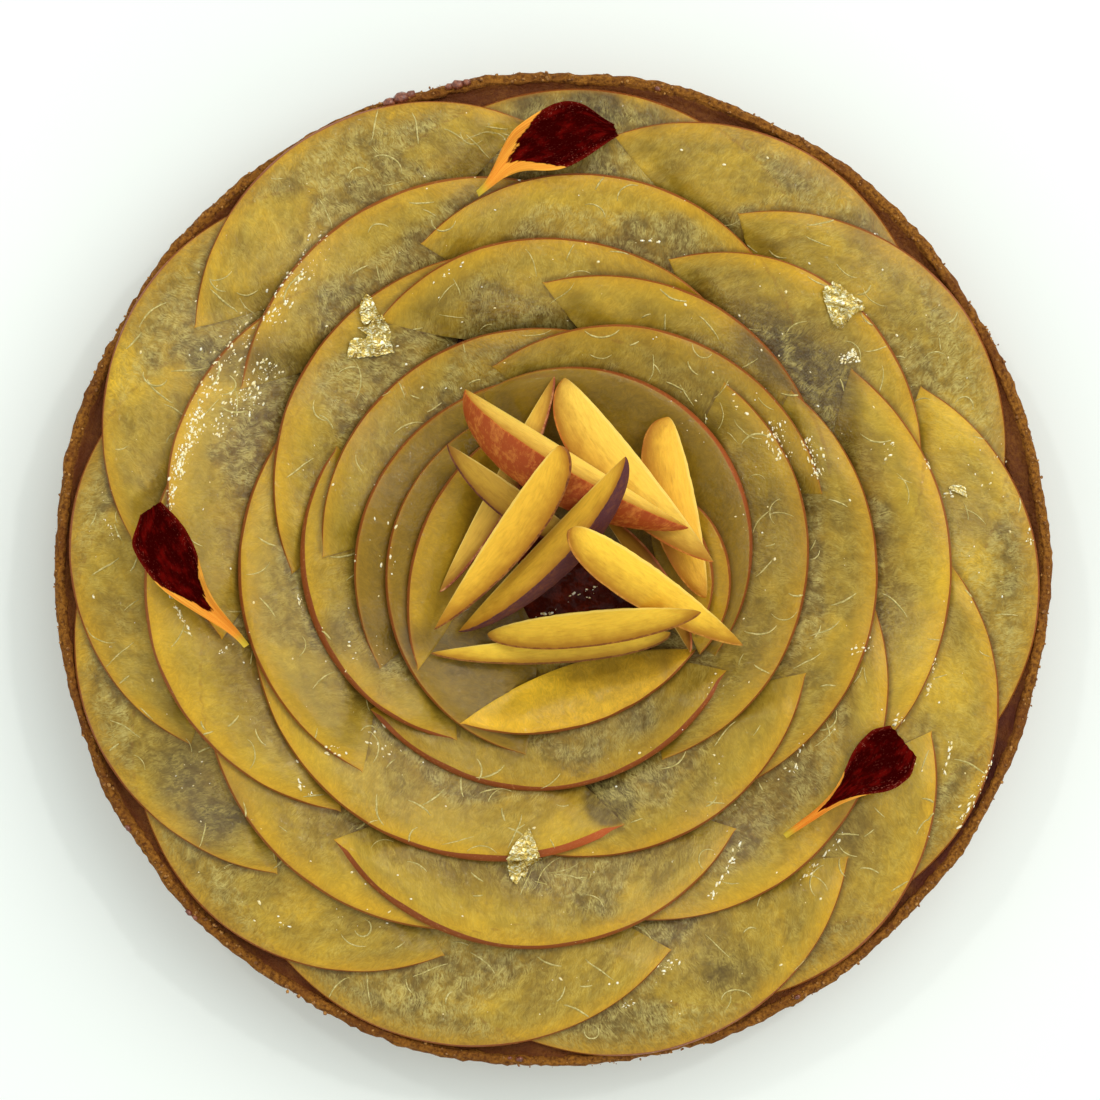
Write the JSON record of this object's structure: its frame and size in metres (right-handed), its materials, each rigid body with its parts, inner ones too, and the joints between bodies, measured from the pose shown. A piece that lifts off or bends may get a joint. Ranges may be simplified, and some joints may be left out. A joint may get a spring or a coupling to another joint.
{
  "type": "peach melba tart",
  "caption": "Round open tart: thin peach slices lapped in rings over raspberry jam in a straight pastry case, with peach wedges, petals and gold leaf on top.",
  "frame": {"origin": "middle of the flat base, on the surface the tart stands on", "axes": "+Z up; seen from above with +X to the right and +Y up, the tart lies as in the picture"},
  "size_m": [0.1809, 0.1801, 0.0493],
  "materials": {
    "crust": "baked shortcrust, toasted brown, crumbly edge",
    "jam": "dark red raspberry jam with seeds, glossy",
    "peach": "thin glazed peach flesh, translucent golden yellow, with a thin red-brown skin line",
    "peach_wedge": "fresh peach flesh, satin, with red to purple skin",
    "petal": "velvety dark red petal with an orange-yellow base",
    "gold": "crumpled gold leaf"
  },
  "bodies": {
    "root": {"crust": "crust", "raspberry_filling": "jam", "slice_1_01": "peach", "slice_1_02": "peach", "slice_1_03": "peach", "slice_1_04": "peach", "slice_1_05": "peach", "slice_1_06": "peach", "slice_1_07": "peach", "slice_1_08": "peach", "slice_1_09": "peach", "slice_1_10": "peach", "slice_1_11": "peach", "slice_1_12": "peach", "slice_1_13": "peach", "slice_2_01": "peach", "slice_2_02": "peach", "slice_2_03": "peach", "slice_2_04": "peach", "slice_2_05": "peach", "slice_2_06": "peach", "slice_2_07": "peach", "slice_2_08": "peach", "slice_2_09": "peach", "slice_3_01": "peach", "slice_3_02": "peach", "slice_3_03": "peach", "slice_3_04": "peach", "slice_3_05": "peach", "slice_3_06": "peach", "slice_3_07": "peach", "slice_4_01": "peach", "slice_4_02": "peach", "slice_4_03": "peach", "slice_4_04": "peach", "slice_4_05": "peach", "slice_5_01": "peach", "slice_5_02": "peach", "slice_5_03": "peach", "slice_6_01": "peach", "slice_6_02": "peach", "slice_6_03": "peach", "slice_6_04": "peach", "wedge_thin": "peach_wedge", "wedge_right": "peach_wedge", "wedge_hidden": "peach_wedge", "wedge_low": "peach_wedge", "wedge_broad": "peach_wedge", "wedge_dark_edge": "peach_wedge", "wedge_red": "peach_wedge", "wedge_purple": "peach_wedge", "wedge_bright": "peach_wedge", "wedge_level": "peach_wedge", "wedge_top": "peach_wedge", "petal_top": "petal", "petal_left": "petal", "petal_right": "petal", "gold_leaf_left": "gold", "gold_leaf_right": "gold", "gold_leaf_front": "gold"}
  },
  "joints": []
}
